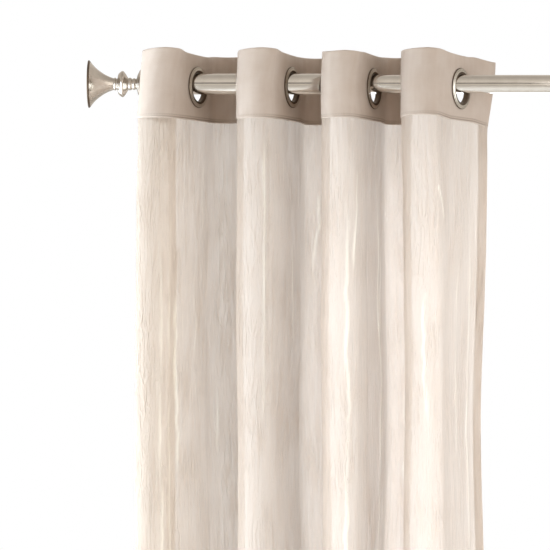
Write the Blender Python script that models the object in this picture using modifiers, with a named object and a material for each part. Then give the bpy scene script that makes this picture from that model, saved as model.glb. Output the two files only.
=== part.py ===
"""Sheer voile curtain hanging in deep folds on its rod.

The panel is one length of crushed voile with an opaque heading band sewn along its top.
Eight eyelets through the band ride on a two-part rod with a trumpet finial at each end.
X runs along the rod, Y goes back towards the wall and Z is up. The origin is on the rod's
axis, at the place where the left bracket carries it.
"""
import math

import bmesh
import bpy
import numpy as np

MM = 0.001
TOUCH = 0.3 * MM

# Cloth as cut: a panel 50 inches wide and 84 inches long with an eyelet every 160 mm
PANEL_WIDTH = 1270.0 * MM
PANEL_LENGTH = 2133.6 * MM
EYELET_COUNT = 8
SIDE_MARGIN = 76.2 * MM
EYELET_PITCH = (PANEL_WIDTH - 2 * SIDE_MARGIN) / (EYELET_COUNT - 1)
FLAT_HALF = 27.0 * MM
VOILE_THICKNESS = 1.5 * MM
BAND_THICKNESS = 2.5 * MM
BAND_TOP = 39.3 * MM
BAND_HEIGHT = 84.4 * MM
SEAM_HEIGHT = BAND_TOP - BAND_HEIGHT
HEM_HEIGHT = BAND_TOP - PANEL_LENGTH

# Eyelets: a turned ring clamped through the band
EYELET_BORE_RADIUS = 17.25 * MM
EYELET_BARREL_RADIUS = 19.5 * MM
EYELET_FLANGE_RADIUS = 25.0 * MM
EYELET_CROWN_RADIUS = 21.4 * MM
EYELET_CROWN_HALF = 3.7 * MM
EYELET_SHOULDER_HALF = 2.6 * MM
EYELET_SHOULDER_RADIUS = 24.7 * MM
EYELET_LIP_HALF = 2.2 * MM
EYELET_LIP_RADIUS = 17.8 * MM
HOLE_CUTTER_DEPTH = 20.0 * MM
EYELET_STEPS = 24
ROD_TO_EYELET = 0.4 * MM

# Rod: the thick tube at the left slides over the thin one
OUTER_RADIUS = 12.7 * MM
INNER_RADIUS = 11.1 * MM
INNER_BORE_RADIUS = 9.9 * MM
TUBE_STEPS = 32
OUTER_LEFT = -31.4 * MM
OUTER_RIGHT = 216.0 * MM
ROD_LENGTH = 711.2 * MM
ROD_RIGHT = OUTER_LEFT + ROD_LENGTH
TUBE_OVERLAP = 150.0 * MM
SPIGOT_LENGTH = 24.0 * MM
FINIAL_STEPS = 24

# One row for each eyelet, left to right. x is where its stretch of cloth crosses the rod and
# lean is how far that stretch is turned from square to the rod, front to the left, in degrees.
# The three pairs are at the heading, in the upper part of the voile and at the hem. bend is how
# many degrees the stretch straightens behind its eyelet, on its way to the fold at the back.
# sway and phase give the slow wandering of that stretch down the drop.
LEG_COLUMNS = ("x_top", "lean_top", "x_upper", "lean_upper", "x_hem", "lean_hem", "bend", "sway", "phase")
LEG_ROWS = (
    (-18.4, 18.5, -18.6, 19.0, -27.0, 18.0, 0.0, 1.2, 0.3),
    (35.4, 26.0, 33.8, 26.0, 33.0, 25.0, 17.0, 2.2, 1.9),
    (88.2, 4.4, 87.6, 4.4, 92.0, 3.0, 0.0, 2.0, 3.4),
    (150.1, 23.1, 150.4, 23.5, 157.0, 24.0, 14.0, 2.4, 0.9),
    (192.8, 8.4, 192.6, 8.4, 205.0, 7.5, 4.0, 1.8, 2.6),
    (250.1, 23.3, 250.3, 23.0, 262.0, 22.0, 13.0, 2.6, 4.2),
    (290.8, 12.4, 292.6, 11.4, 309.0, 9.0, 6.0, 1.8, 5.4),
    (356.2, 30.8, 354.6, 27.4, 374.0, 26.5, 0.0, 1.6, 1.2),
)
BEND_RADIUS = 14.0 * MM
UPPER_HEIGHT = -450.0 * MM
SWAY_LENGTH = 620.0 * MM
SWAY_LEAN = 0.45

# The free right edge turns outwards at the heading and hangs nearly straight below it
EDGE_CURL_TOP = 31.0
EDGE_CURL_BELOW = 1.0
CURL_FADE = 100.0 * MM

# At each fold, front ones even, how far the band's top edge sags and its seam is lifted, and how
# far the fold leans to the right at its top edge, at the seam and a little below it, in mm
FOLD_COLUMNS = ("between", "top_drop", "seam_lift", "top_shift", "seam_shift", "low_shift")
FOLD_ROWS = (
    (0, 0.0, 0.1, 8.2, -4.6, -8.4),
    (1, 0.3, 1.4, 0.0, 0.0, 0.0),
    (2, 0.4, -0.7, 6.0, 0.0, 0.6),
    (3, 1.6, -0.5, 0.0, 0.0, 0.0),
    (4, 3.6, 0.1, 4.6, 0.0, 0.8),
    (5, 0.9, -0.1, 0.0, 0.0, 0.0),
    (6, 0.0, 3.5, 3.6, 0.0, 5.6),
)
FOLD_HALF_WIDTH = 56.0 * MM
FOLD_EASE = 42.0 * MM
LOW_SHIFT_HEIGHT = -150.0 * MM
# The eyelets' weight pulls the band's top edge down, most of it just behind the rod
EYELET_SAG = 4.4 * MM
SAG_BEFORE = 110.0 * MM
SAG_PEAK = 20.0 * MM
SAG_BEHIND = 70.0 * MM

CORNER_DROP_TOP = 7.5 * MM
CORNER_DROP_SEAM = 3.0 * MM
CORNER_REACH = 45.0 * MM
LIFT_FADE = 250.0 * MM

# Columns and rows of the sheets
LOOP_COLUMNS = 10
LOOP_EASE = 1.35
LEFT_MARGIN_STOPS = (0.0, 0.5, 1.0)
RIGHT_MARGIN_STOPS = (0.25, 0.5, 0.75, 1.0)
BAND_ROWS = 2
VOILE_ROWS = 12
ROW_EASE = 1.45

# Trumpet finial, from its mouth to the face that meets the tube: distance along it and radius
FINIAL_PROFILE = (
    (61.2, 0.0), (61.8, 14.0), (63.2, 25.6), (64.8, 28.1), (65.6, 28.7), (64.8, 29.0),
    (62.8, 27.0), (58.4, 21.4), (52.0, 15.9), (45.0, 11.3), (38.6, 8.3), (34.4, 7.0),
    (30.2, 6.8), (29.2, 11.4), (26.6, 14.7), (24.0, 16.0), (21.6, 14.2), (19.0, 10.6),
    (17.2, 7.4), (14.6, 7.6), (12.0, 6.2), (9.4, 7.0), (7.0, 6.2), (5.0, 12.6),
    (2.8, 17.0), (1.8, 17.8), (0.0, 17.8),
)


def named_rows(columns, rows):
    """Each row of a table as a dictionary keyed by its column names."""
    return [dict(zip(columns, row)) for row in rows]


LEGS = named_rows(LEG_COLUMNS, LEG_ROWS)
FOLDS = named_rows(FOLD_COLUMNS, FOLD_ROWS)


def eyelet_position(index):
    """Distance of an eyelet's centre from the left edge, along the flat cloth."""
    return SIDE_MARGIN + index * EYELET_PITCH


def smooth(value):
    """A step from 0 to 1 with level ends."""
    value = np.clip(value, 0.0, 1.0)
    return value * value * (3.0 - 2.0 * value)


def legs_at(height):
    """Crossing point in metres and lean in radians of every stretch at a height."""
    upper = float(smooth((SEAM_HEIGHT - height) / (SEAM_HEIGHT - UPPER_HEIGHT)))
    lower = float(smooth((UPPER_HEIGHT - height) / (UPPER_HEIGHT - HEM_HEIGHT)))
    below = max(SEAM_HEIGHT - height, 0.0)
    crossings = []
    leans = []
    for leg in LEGS:
        wander = upper * leg["sway"] * math.sin(2 * math.pi * below / SWAY_LENGTH + leg["phase"])
        x = leg["x_top"] + upper * (leg["x_upper"] - leg["x_top"]) + wander
        x += lower * (leg["x_hem"] - leg["x_upper"])
        lean = leg["lean_top"] + upper * (leg["lean_upper"] - leg["lean_top"])
        lean += lower * (leg["lean_hem"] - leg["lean_upper"]) + SWAY_LEAN * wander
        crossings.append(x * MM)
        leans.append(math.radians(lean))
    return crossings, leans


def after_bend(lean, bend):
    """Where a stretch stands, from its eyelet, once it is past its flat part and its bend."""
    along = FLAT_HALF + BEND_RADIUS * math.sin(bend)
    aside = BEND_RADIUS * (1 - math.cos(bend))
    return np.array((
        along * math.sin(lean) - aside * math.cos(lean),
        along * math.cos(lean) + aside * math.sin(lean),
    ))


def loop_pieces(width, leans, bends, turn_sign):
    """Lengths and curvatures of the cloth's line between two neighbouring eyelets.

    Past its eyelet each stretch turns by its bend. Both then draw together towards the fold,
    so one arc touches them both, and its radius is the one that uses up exactly the cloth
    between the two eyelets.
    """
    starts = [after_bend(lean, bend) for lean, bend in zip(leans, bends)]
    gap = starts[1] - starts[0] + np.array((-turn_sign * width, 0.0))
    after = [lean - bend for lean, bend in zip(leans, bends)]
    ahead = [(math.sin(lean), math.cos(lean)) for lean in after]
    closing = -turn_sign * math.sin(after[0] - after[1])
    reach_from = -turn_sign * (gap[0] * ahead[1][1] - gap[1] * ahead[1][0]) / closing
    reach_to = -turn_sign * (gap[0] * ahead[0][1] - gap[1] * ahead[0][0]) / closing
    turn = math.pi + turn_sign * (after[0] - after[1])
    tangent = math.tan(turn / 2)
    cloth = EYELET_PITCH - 2 * FLAT_HALF - BEND_RADIUS * (bends[0] + bends[1])
    radius = (reach_from + reach_to - cloth) / (2 * tangent - turn)
    return [
        (FLAT_HALF, 0.0),
        (BEND_RADIUS * bends[0], 1 / BEND_RADIUS),
        (reach_from - radius * tangent, 0.0),
        (radius * turn, turn_sign / radius),
        (reach_to - radius * tangent, 0.0),
        (BEND_RADIUS * bends[1], -1 / BEND_RADIUS),
        (FLAT_HALF, 0.0),
    ]


def plan_pieces(height):
    """Start point, start heading and the pieces of the cloth's line in plan at a height."""
    crossings, leans = legs_at(height)
    direction = np.array((-math.sin(leans[0]), -math.cos(leans[0])))
    start = np.array((crossings[0], 0.0)) - SIDE_MARGIN * direction
    heading = math.atan2(direction[1], direction[0])
    pieces = [(SIDE_MARGIN, 0.0)]
    for index in range(EYELET_COUNT - 1):
        front = index % 2 == 0
        width = crossings[index + 1] - crossings[index]
        bends = [0.0 if front else math.radians(leg["bend"]) for leg in LEGS[index:index + 2]]
        pieces += loop_pieces(width, leans[index:index + 2], bends, 1 if front else -1)
    fade = float(smooth((BAND_TOP - height) / CURL_FADE))
    curl = math.radians(EDGE_CURL_TOP + fade * (EDGE_CURL_BELOW - EDGE_CURL_TOP))
    free_length = SIDE_MARGIN - FLAT_HALF
    pieces += [(FLAT_HALF, 0.0), (free_length, -curl / free_length)]
    return start, heading, pieces


def fold_shares(distances):
    """For each fold its row and how far it counts at the given distances along the cloth."""
    for row in FOLDS:
        middle = eyelet_position(row["between"]) + EYELET_PITCH / 2
        yield row, smooth((FOLD_HALF_WIDTH - np.abs(distances - middle)) / FOLD_EASE)


def fold_shift(height, distances):
    """How far each fold leans over to the right at a height."""
    above = max(height / BAND_TOP, 0.0)
    below = min(max(height / SEAM_HEIGHT, 0.0), 1.0)
    low = float(smooth((SEAM_HEIGHT - height) / (SEAM_HEIGHT - LOW_SHIFT_HEIGHT)))
    shift = np.zeros(len(distances))
    for row, share in fold_shares(distances):
        reach = above * row["top_shift"] + below * row["seam_shift"]
        reach += low * (row["low_shift"] - row["seam_shift"])
        shift += reach * MM * share
    return shift


def plan_points(height, distances):
    """Points in plan at the given distances along the cloth."""
    start, heading, pieces = plan_pieces(height)
    points = np.zeros((len(distances), 2))
    passed = 0.0
    for length, curvature in pieces:
        inside = distances >= passed - 1e-9
        along = distances[inside] - passed
        if curvature == 0.0:
            points[inside, 0] = start[0] + along * math.cos(heading)
            points[inside, 1] = start[1] + along * math.sin(heading)
            end = (start[0] + length * math.cos(heading), start[1] + length * math.sin(heading))
        else:
            turned = heading + curvature * along
            points[inside, 0] = start[0] + (np.sin(turned) - math.sin(heading)) / curvature
            points[inside, 1] = start[1] - (np.cos(turned) - math.cos(heading)) / curvature
            after = heading + curvature * length
            end = (start[0] + (math.sin(after) - math.sin(heading)) / curvature,
                   start[1] - (math.cos(after) - math.cos(heading)) / curvature)
            heading = after
        start = end
        passed += length
    points[:, 0] += fold_shift(height, distances)
    return points


def eyelet_sag(distances):
    """Sag of the band's top edge at the eyelets."""
    shares = np.zeros(len(distances))
    for index in range(EYELET_COUNT):
        to_back = 1 if index % 2 else -1
        behind = to_back * (distances - eyelet_position(index))
        before = smooth((behind + SAG_BEFORE) / (SAG_BEFORE + SAG_PEAK))
        after = smooth((SAG_BEHIND - behind) / (SAG_BEHIND - SAG_PEAK))
        shares = np.maximum(shares, before * after)
    return EYELET_SAG * shares


def edge_offsets(distances):
    """Drop of the band's top edge and rise of its seam at distances along the cloth."""
    drop = eyelet_sag(distances)
    lift = np.zeros(len(distances))
    for row, share in fold_shares(distances):
        drop += row["top_drop"] * MM * share
        lift += row["seam_lift"] * MM * share
    corner = smooth((distances - PANEL_WIDTH + CORNER_REACH) / CORNER_REACH)
    drop += CORNER_DROP_TOP * corner
    lift -= CORNER_DROP_SEAM * corner
    return drop, lift


def sheet_columns():
    """Distances along the cloth of the columns, closer together round the folds."""
    stops = [share * (SIDE_MARGIN - FLAT_HALF) for share in LEFT_MARGIN_STOPS]
    reach = EYELET_PITCH / 2 - FLAT_HALF
    for index in range(EYELET_COUNT - 1):
        middle = eyelet_position(index) + EYELET_PITCH / 2
        for step in range(LOOP_COLUMNS + 1):
            share = 2.0 * step / LOOP_COLUMNS - 1.0
            eased = math.copysign(abs(share) ** LOOP_EASE, share)
            stops.append(middle + reach * eased)
    free_start = PANEL_WIDTH - SIDE_MARGIN + FLAT_HALF
    stops.append(free_start)
    stops += [free_start + share * (PANEL_WIDTH - free_start) for share in RIGHT_MARGIN_STOPS]
    return np.array(stops)


def grid_sheet(columns, rows, place):
    """A grid of columns by rows whose points are moved to place(column, row)."""
    shape = bmesh.new()
    bmesh.ops.create_grid(shape, x_segments=columns - 1, y_segments=rows - 1, size=1.0)
    for point in shape.verts:
        column = round((point.co.x + 1.0) / 2.0 * (columns - 1))
        row = round((point.co.y + 1.0) / 2.0 * (rows - 1))
        point.co = place(column, row)
    return shape


def finished_material(name, colour, roughness, metallic=0.0):
    """A Principled material of one colour."""
    material = bpy.data.materials.new(name)
    material.use_nodes = True
    shader = material.node_tree.nodes["Principled BSDF"]
    shader.inputs["Base Color"].default_value = (*colour, 1.0)
    shader.inputs["Roughness"].default_value = roughness
    shader.inputs["Metallic"].default_value = metallic
    return material


def add_object(shape, name, material, collection):
    """Turn a bmesh into a named object in a collection."""
    mesh = bpy.data.meshes.new(name)
    shape.to_mesh(mesh)
    shape.free()
    mesh.materials.append(material)
    item = bpy.data.objects.new(name, mesh)
    collection.objects.link(item)
    return item


def add_solidify(item, thickness):
    """Give a sheet its thickness, half to each side."""
    solid = item.modifiers.new("thickness", "SOLIDIFY")
    solid.thickness = thickness
    solid.offset = 0.0
    solid.use_even_offset = True


def make_voile(material, collection):
    """The voile, from just under the band's seam to the hem."""
    distances = sheet_columns()
    _, lift = edge_offsets(distances)
    heights = []
    plans = []
    for row in range(VOILE_ROWS + 1):
        share = (row / VOILE_ROWS) ** ROW_EASE
        height = SEAM_HEIGHT + share * (HEM_HEIGHT - SEAM_HEIGHT)
        fade = float(smooth(1.0 - (SEAM_HEIGHT - height) / LIFT_FADE))
        heights.append(height - (TOUCH if row == 0 else 0.0) + lift * fade)
        plans.append(plan_points(height, distances))

    def place(column, row):
        level = VOILE_ROWS - row
        return (*plans[level][column], heights[level][column])

    shape = grid_sheet(len(distances), VOILE_ROWS + 1, place)
    item = add_object(shape, "voile_panel", material, collection)
    add_solidify(item, VOILE_THICKNESS)
    item.data.shade_smooth()
    return item


def make_band(material, collection, cutters):
    """The opaque heading band, with a round hole for each eyelet."""
    distances = sheet_columns()
    drop, lift = edge_offsets(distances)
    plans = []
    heights = []
    for row in range(BAND_ROWS + 1):
        share = row / BAND_ROWS
        plans.append(plan_points(SEAM_HEIGHT + share * BAND_HEIGHT, distances))
        heights.append((1 - share) * (SEAM_HEIGHT + lift) + share * (BAND_TOP - drop))

    def place(column, row):
        return (*plans[row][column], heights[row][column])

    shape = grid_sheet(len(distances), BAND_ROWS + 1, place)
    item = add_object(shape, "heading_band", material, collection)
    add_solidify(item, BAND_THICKNESS)
    holes = item.modifiers.new("eyelet_holes", "BOOLEAN")
    holes.operation = "DIFFERENCE"
    holes.solver = "EXACT"
    holes.operand_type = "COLLECTION"
    holes.collection = cutters
    return item


def eyelet_centre_height(index):
    """The eyelet hangs with the top of its bore just over the tube it rides on."""
    crossing = LEGS[index]["x_top"] * MM
    tube = OUTER_RADIUS if crossing < OUTER_RIGHT else INNER_RADIUS
    return tube + ROD_TO_EYELET - EYELET_BORE_RADIUS


def place_on_leg(item, index):
    """Set an item's own Z axis square to the cloth, at an eyelet's centre."""
    leg = LEGS[index]
    item.location = (leg["x_top"] * MM, 0.0, eyelet_centre_height(index))
    item.rotation_euler = (0.0, math.radians(90.0), -math.radians(leg["lean_top"]))


def make_hole_cutters(cutters):
    """One cylinder through the band at each eyelet."""
    for index in range(EYELET_COUNT):
        shape = bmesh.new()
        radius = EYELET_BARREL_RADIUS + TOUCH
        bmesh.ops.create_cone(shape, cap_ends=True, segments=EYELET_STEPS, radius1=radius,
                              radius2=radius, depth=HOLE_CUTTER_DEPTH)
        mesh = bpy.data.meshes.new("eyelet_hole")
        shape.to_mesh(mesh)
        shape.free()
        cutter = bpy.data.objects.new(f"eyelet_hole_{index + 1}", mesh)
        cutters.objects.link(cutter)
        cutter.hide_render = True
        cutter.display_type = "WIRE"
        place_on_leg(cutter, index)


def turned_object(name, profile, closed, steps, material, collection):
    """Turn a profile of radius and height, in metres, once round the item's Z axis."""
    shape = bmesh.new()
    points = [shape.verts.new((radius, 0.0, height)) for radius, height in profile]
    for first, second in zip(points, points[1:]):
        shape.edges.new((first, second))
    if closed:
        shape.edges.new((points[-1], points[0]))
    item = add_object(shape, name, material, collection)
    screw = item.modifiers.new("turned", "SCREW")
    screw.axis = "Z"
    screw.steps = steps
    screw.render_steps = steps
    screw.use_merge_vertices = True
    screw.merge_threshold = 0.00002
    screw.use_smooth_shade = True
    return item


def eyelet_profile():
    """Half of the ring's section, walked down its outer side and up through its bore."""
    inner_face = BAND_THICKNESS / 2 + TOUCH
    upper = [
        (EYELET_CROWN_RADIUS, EYELET_CROWN_HALF),
        (EYELET_SHOULDER_RADIUS, EYELET_SHOULDER_HALF),
        (EYELET_FLANGE_RADIUS, inner_face),
        (EYELET_BARREL_RADIUS, inner_face),
    ]
    lower = [(radius, -height) for radius, height in reversed(upper)]
    bore = [
        (EYELET_LIP_RADIUS, -EYELET_LIP_HALF),
        (EYELET_BORE_RADIUS, 0.0),
        (EYELET_LIP_RADIUS, EYELET_LIP_HALF),
    ]
    return upper + lower + bore


def make_eyelets(material, collection):
    """Eight eyelets, each clamped through the band and riding on the rod."""
    profile = eyelet_profile()
    for index in range(EYELET_COUNT):
        name = f"grommet_{index + 1}"
        item = turned_object(name, profile, True, EYELET_STEPS, material, collection)
        place_on_leg(item, index)


def make_tube(name, left, right, radius, bore, material, collection):
    """A tube along X, open at both ends."""
    half = (right - left) / 2
    profile = [(radius, half), (radius, -half), (bore, -half), (bore, half)]
    item = turned_object(name, profile, True, TUBE_STEPS, material, collection)
    item.location = ((left + right) / 2, 0.0, 0.0)
    item.rotation_euler = (0.0, math.radians(90.0), 0.0)
    return item


def finial_outline(spigot_radius):
    """The finial's profile from its mouth to the tube, then its spigot inside the tube."""
    outline = [(radius * MM, along * MM) for along, radius in FINIAL_PROFILE]
    outline.append((spigot_radius, 0.0))
    outline.append((spigot_radius, -SPIGOT_LENGTH))
    outline.append((0.0, -SPIGOT_LENGTH))
    return outline


def make_finials(material, collection):
    """A matching finial on each end of the rod, its spigot pushed into the tube."""
    left_bore = INNER_RADIUS + TOUCH
    ends = (
        ("finial_left", OUTER_LEFT - TOUCH, -90.0, left_bore - TOUCH),
        ("finial_right", ROD_RIGHT + TOUCH, 90.0, INNER_BORE_RADIUS - TOUCH),
    )
    for name, face, turn, spigot_radius in ends:
        outline = finial_outline(spigot_radius)
        item = turned_object(name, outline, False, FINIAL_STEPS, material, collection)
        item.location = (face, 0.0, 0.0)
        item.rotation_euler = (0.0, math.radians(turn), 0.0)


def new_collection(name):
    """A collection under the scene's own."""
    collection = bpy.data.collections.new(name)
    bpy.context.scene.collection.children.link(collection)
    return collection


def main():
    for item in list(bpy.data.objects):
        bpy.data.objects.remove(item, do_unlink=True)
    curtain = new_collection("voile_curtain")
    cutters = new_collection("cutters")

    voile = finished_material("voile", (0.83, 0.77, 0.68), 0.75)
    heading = finished_material("heading", (0.60, 0.50, 0.42), 0.8)
    nickel = finished_material("brushed_nickel", (0.52, 0.49, 0.45), 0.35, 1.0)

    make_voile(voile, curtain)
    make_hole_cutters(cutters)
    make_band(heading, curtain, cutters)
    make_eyelets(nickel, curtain)
    make_tube("rod_outer_tube", OUTER_LEFT, OUTER_RIGHT, OUTER_RADIUS, INNER_RADIUS + TOUCH,
              nickel, curtain)
    make_tube("rod_inner_tube", OUTER_RIGHT - TUBE_OVERLAP, ROD_RIGHT, INNER_RADIUS,
              INNER_BORE_RADIUS, nickel, curtain)
    make_finials(nickel, curtain)


main()
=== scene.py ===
"""Looks of the sheer voile curtain on its rod: crushed voile, heading band, eyelets and metal rod."""
import math

import bpy
import numpy as np
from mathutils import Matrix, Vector


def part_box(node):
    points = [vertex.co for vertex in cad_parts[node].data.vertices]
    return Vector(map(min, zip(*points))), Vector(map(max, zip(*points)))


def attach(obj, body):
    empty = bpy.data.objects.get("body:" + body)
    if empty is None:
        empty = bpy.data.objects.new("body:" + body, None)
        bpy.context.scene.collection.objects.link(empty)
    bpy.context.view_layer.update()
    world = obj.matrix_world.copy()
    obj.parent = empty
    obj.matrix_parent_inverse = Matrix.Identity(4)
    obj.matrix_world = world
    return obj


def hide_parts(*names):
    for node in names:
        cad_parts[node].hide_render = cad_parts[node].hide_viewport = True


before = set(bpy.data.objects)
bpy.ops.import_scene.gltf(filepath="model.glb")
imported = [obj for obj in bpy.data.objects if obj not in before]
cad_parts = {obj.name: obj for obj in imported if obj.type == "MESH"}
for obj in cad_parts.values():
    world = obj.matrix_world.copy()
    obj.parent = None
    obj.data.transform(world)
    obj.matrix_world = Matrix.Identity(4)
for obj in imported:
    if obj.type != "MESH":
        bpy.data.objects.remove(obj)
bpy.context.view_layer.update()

MM = 0.001
ROUNDING = 1e-9

# The flat cloth, as in the part's source
PANEL_WIDTH = 1270.0 * MM
PANEL_LENGTH = 2133.6 * MM
EYELET_COUNT = 8
SIDE_MARGIN = 76.2 * MM
EYELET_PITCH = (PANEL_WIDTH - 2 * SIDE_MARGIN) / (EYELET_COUNT - 1)
FLAT_HALF = 27.0 * MM
BAND_TOP = 39.3 * MM
BAND_HEIGHT = 84.4 * MM
SEAM_HEIGHT = BAND_TOP - BAND_HEIGHT
HEM_HEIGHT = BAND_TOP - PANEL_LENGTH

# Each stretch of cloth between two folds: crossing of the rod in mm and lean in degrees, at
# the heading, in the upper voile and at the hem, how far it straightens behind its eyelet, and
# its slow wandering down the drop
LEG_COLUMNS = ("x_top", "lean_top", "x_upper", "lean_upper", "x_hem", "lean_hem", "bend", "sway", "phase")
LEG_ROWS = (
    (-18.4, 18.5, -18.6, 19.0, -27.0, 18.0, 0.0, 1.2, 0.3),
    (35.4, 26.0, 33.8, 26.0, 33.0, 25.0, 17.0, 2.2, 1.9),
    (88.2, 4.4, 87.6, 4.4, 92.0, 3.0, 0.0, 2.0, 3.4),
    (150.1, 23.1, 150.4, 23.5, 157.0, 24.0, 14.0, 2.4, 0.9),
    (192.8, 8.4, 192.6, 8.4, 205.0, 7.5, 4.0, 1.8, 2.6),
    (250.1, 23.3, 250.3, 23.0, 262.0, 22.0, 13.0, 2.6, 4.2),
    (290.8, 12.4, 292.6, 11.4, 309.0, 9.0, 6.0, 1.8, 5.4),
    (356.2, 30.8, 354.6, 27.4, 374.0, 26.5, 0.0, 1.6, 1.2),
)
LEGS = [dict(zip(LEG_COLUMNS, row)) for row in LEG_ROWS]
BEND_RADIUS = 14.0 * MM
UPPER_HEIGHT = -450.0 * MM
SWAY_LENGTH = 620.0 * MM
SWAY_LEAN = 0.45
# The free right edge curls by these angles in degrees, at the band's top and lower down
EDGE_CURL_TOP = 31.0
EDGE_CURL_BELOW = 1.0
CURL_FADE = 100.0 * MM

# At each fold, front ones even: sag of the band's top edge, lift of its seam, and lean of the
# fold to the right at its top edge, at the seam and a little below it, in mm
FOLD_COLUMNS = ("between", "top_drop", "seam_lift", "top_shift", "seam_shift", "low_shift")
FOLD_ROWS = (
    (0, 0.0, 0.1, 8.2, -4.6, -8.4),
    (1, 0.3, 1.4, 0.0, 0.0, 0.0),
    (2, 0.4, -0.7, 6.0, 0.0, 0.6),
    (3, 1.6, -0.5, 0.0, 0.0, 0.0),
    (4, 3.6, 0.1, 4.6, 0.0, 0.8),
    (5, 0.9, -0.1, 0.0, 0.0, 0.0),
    (6, 0.0, 3.5, 3.6, 0.0, 5.6),
)
FOLDS = [dict(zip(FOLD_COLUMNS, row)) for row in FOLD_ROWS]
FOLD_HALF_WIDTH = 56.0 * MM
FOLD_EASE = 42.0 * MM
LOW_SHIFT_HEIGHT = -150.0 * MM
# The eyelets' weight pulls the band's top edge down, most of it just behind the rod
EYELET_SAG = 4.4 * MM
SAG_BEFORE = 110.0 * MM
SAG_PEAK = 20.0 * MM
SAG_BEHIND = 70.0 * MM
# The band's right corner drops, and the seam's rise fades down the voile
CORNER_DROP_TOP = 7.5 * MM
CORNER_DROP_SEAM = 3.0 * MM
CORNER_REACH = 45.0 * MM
LIFT_FADE = 250.0 * MM

# Cloth in the scene: rounded edges of the band, hems turned to the back, and the spacing of its
# points. Steps are in mm: a hem's from its folded edge, the band's from its ends and its seam
BAND_HALF_THICKNESS = 1.05 * MM
EDGE_ROUNDING = 1.2 * MM
EDGE_THINNEST = 0.3
SEAM_TUCK = 5.0 * MM
HEM_OFFSET = 0.9 * MM
HEM_PRESSED = 0.6
SIDE_HEM_STEPS = (0.0, 0.6, 1.8, 6.0, 12.0, 18.0, 23.5, 25.0)
BOTTOM_HEM_STEPS = (0.0, 0.8, 2.4, 20.0, 38.0, 56.0, 73.5, 76.0)
COLUMN_STEP = 2.15 * MM
FINE_ROW = 6.5 * MM
FINE_DEPTH = 620.0 * MM
COARSE_ROW = 24.0 * MM
BAND_END_STEPS = (0.0, 0.25, 0.7, 1.4)
BAND_INNER_START = 2.5 * MM
BAND_INNER_COLUMNS = 505
BAND_SEAM_STEPS = (0.0, 0.34, 1.2, 2.2, 3.0, 3.8, 4.6, 5.6, 7.2)
BAND_MIDDLE_SHARES = (0.115, 0.95, 28)
BAND_TOP_SHARES = (0.97, 0.986, 0.996, 1.0)

# Main creases, listed in mm on the flat cloth: distance from the left edge at its top, its two
# ends as heights, drift to the right on the way down, wandering, rise towards the room, width
CREASE_COLUMNS = ("across", "top", "bottom", "drift", "wander", "rise", "width")
CREASE_ROWS = (
    (168, -46, -2060, 6, 1.6, 0.7, 3.0),
    (181, -46, -1200, 5, 1.4, 0.5, 2.8),
    (190, -245, -490, 5, 5.0, 0.9, 3.2),
    (203, -270, -312, 1, 0.8, 0.6, 2.6),
    (230, -150, -350, 3, 4.5, 0.7, 2.8),
    (252, -90, -190, -5, 3.0, 0.5, 2.6),
    (270, -46, -2060, 4, 3.0, -0.8, 4.2),
    (300, -330, -470, 4, 3.5, 0.5, 2.8),
    (483, -46, -430, 0, 0.9, 0.6, 2.6),
    (489, -46, -430, 0, 0.9, -0.5, 2.6),
    (530, -92, -124, 0, 0.6, 0.7, 2.8),
    (556, -180, -330, 6, 4.0, 0.6, 2.8),
    (590, -46, -2060, 8, 3.0, -0.7, 4.2),
    (640, -120, -260, -8, 4.5, 0.6, 3.0),
    (800, -46, -1500, -2, 3.4, 0.9, 3.4),
    (821, -96, -236, -11, 3.4, 0.8, 2.8),
    (854, -46, -1400, -2, 1.2, -0.8, 4.0),
    (892, -46, -1250, 0, 3.0, 0.8, 3.0),
    (897, -94, -172, 50, 2.0, 0.7, 2.8),
    (906, -184, -312, -12, 2.2, 0.6, 2.6),
    (960, -300, -520, 6, 4.5, 0.6, 3.0),
    (1125, -124, -172, 17, 1.4, 0.8, 2.8),
    (1105, -230, -420, 4, 4.5, 0.7, 3.0),
    (1177, -46, -70, 0, 0.6, 0.7, 2.8),
    (1190, -200, -470, -5, 4.0, 0.6, 3.0),
    (60, -60, -700, -6, 4.0, 0.7, 3.2),
    (120, -500, -1300, 8, 5.0, 0.8, 3.4),
    (350, -60, -900, 7, 4.0, 0.6, 3.2),
    (410, -700, -1700, -9, 6.0, 0.8, 3.4),
    (455, -900, -2060, 6, 5.0, 0.7, 3.4),
    (680, -60, -1100, -6, 5.0, 0.7, 3.2),
    (735, -800, -2060, 5, 6.0, 0.8, 3.4),
    (1010, -60, -900, 6, 5.0, 0.7, 3.2),
    (1065, -700, -2060, -7, 6.0, 0.8, 3.4),
    (1150, -900, -2060, 8, 5.0, 0.7, 3.4),
    (1225, -60, -1500, -3, 3.0, 0.6, 3.0),
)
CREASES = [dict(zip(CREASE_COLUMNS, row)) for row in CREASE_ROWS]
CREASE_HEIGHT = 1.4
CREASE_SPREAD = 0.75
CREASE_END_STEEPNESS = 6
CREASE_ROW_STEP = 7.3
# Noise down a crease: its length in mm and its seed
WANDER_LONG = (42, 31)
WANDER_SHORT = (17, 32)
CREASE_STRENGTH = (60, 33)

# Noise of the cloth: size across and size down in mm, seed, and strength, as a rule in mm
NOISE_TABLE = 256
WARP_WIDE = (46, 70, 11, 7.0)
WARP_FINE = (15, 26, 12, 2.5)
CRINKLE_PATCHES = (75, 150, 15, 0.9)
CRINKLE_RIDGES = (16, 80, 14, 0.6)
CRINKLE_SOFT = (30, 240, 16, 0.75)
CRINKLE_FINE = (7.5, 38, 17, 0.16)
PUCKER_FINE = (5.2, 1, 21, 0.5)
PUCKER_WIDE = (11.0, 1, 22, 0.3)
BAND_WAVES = (38, 70, 24, 0.42)
BAND_RIPPLES = (15, 34, 25, 0.21)

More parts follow.
